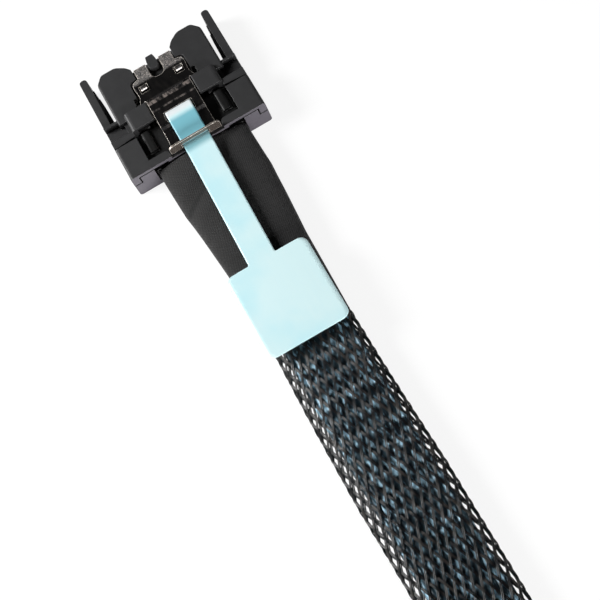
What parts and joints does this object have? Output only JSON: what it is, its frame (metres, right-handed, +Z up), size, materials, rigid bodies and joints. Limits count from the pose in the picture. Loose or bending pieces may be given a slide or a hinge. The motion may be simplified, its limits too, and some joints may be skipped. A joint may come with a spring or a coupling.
{
  "type": "internal server data cable",
  "caption": "Flat braided data cable with latching card-edge plugs, film pull tabs and cloth-wrapped ends, its spare length folded into a tied hank.",
  "frame": {"origin": "centre of the first plug's body on its flat underside, which rests on the surface", "axes": "+Z up; +Y the way the first plug mates, so that the cable leaves it towards -Y; +X to its right seen from above"},
  "size_m": [0.0333, 0.3133, 0.0288],
  "materials": {
    "black_plastic": "moulded glass-filled plastic, fine matt grain",
    "latch_steel": "stamped stainless spring sheet, rolled and slightly scuffed",
    "board_green": "green solder mask with gilt contact pads",
    "grip_black": "black moulded cable grip",
    "ribbon_blue": "blue-grey ribbon cable jacket",
    "tab_film": "pale blue satin film",
    "cloth_black": "black woven cloth tape",
    "sleeve_black": "black braided monofilament sleeve over blue-grey ribbons",
    "tie_black": "black hook-and-loop strap"
  },
  "bodies": {
    "cable_body": {"near_housing": "black_plastic", "near_cover": "black_plastic", "near_circuit_card": "board_green", "near_cable_grip": "grip_black", "near_upper_ribbon_end": "ribbon_blue", "near_lower_ribbon_end": "ribbon_blue", "far_housing": "black_plastic", "far_cover": "black_plastic", "far_circuit_card": "board_green", "far_cable_grip": "grip_black", "far_upper_ribbon_end": "ribbon_blue", "far_lower_ribbon_end": "ribbon_blue", "near_cloth_wrap": "cloth_black", "far_cloth_wrap": "cloth_black", "cable_run": "sleeve_black", "cable_hank": "sleeve_black", "hank_tie": "tie_black"},
    "near_latch": {"near_latch_spring": "latch_steel", "near_pull_tab": "tab_film"},
    "far_latch": {"far_latch_spring": "latch_steel", "far_pull_tab": "tab_film"}
  },
  "joints": [
    {"name": "near_latch_hinge", "type": "hinge", "parent": "cable_body", "child": "near_latch", "pos_m": [0, 0.006, 0.0062], "axis": [-1, 0, 0], "range_deg": [0, 4], "stiffness_Nm_per_rad": 0.2},
    {"name": "far_latch_hinge", "type": "hinge", "parent": "cable_body", "child": "far_latch", "pos_m": [0.0016, -0.2372, 0.0193], "axis": [1, 0, 0], "range_deg": [0, 4], "stiffness_Nm_per_rad": 0.2}
  ]
}
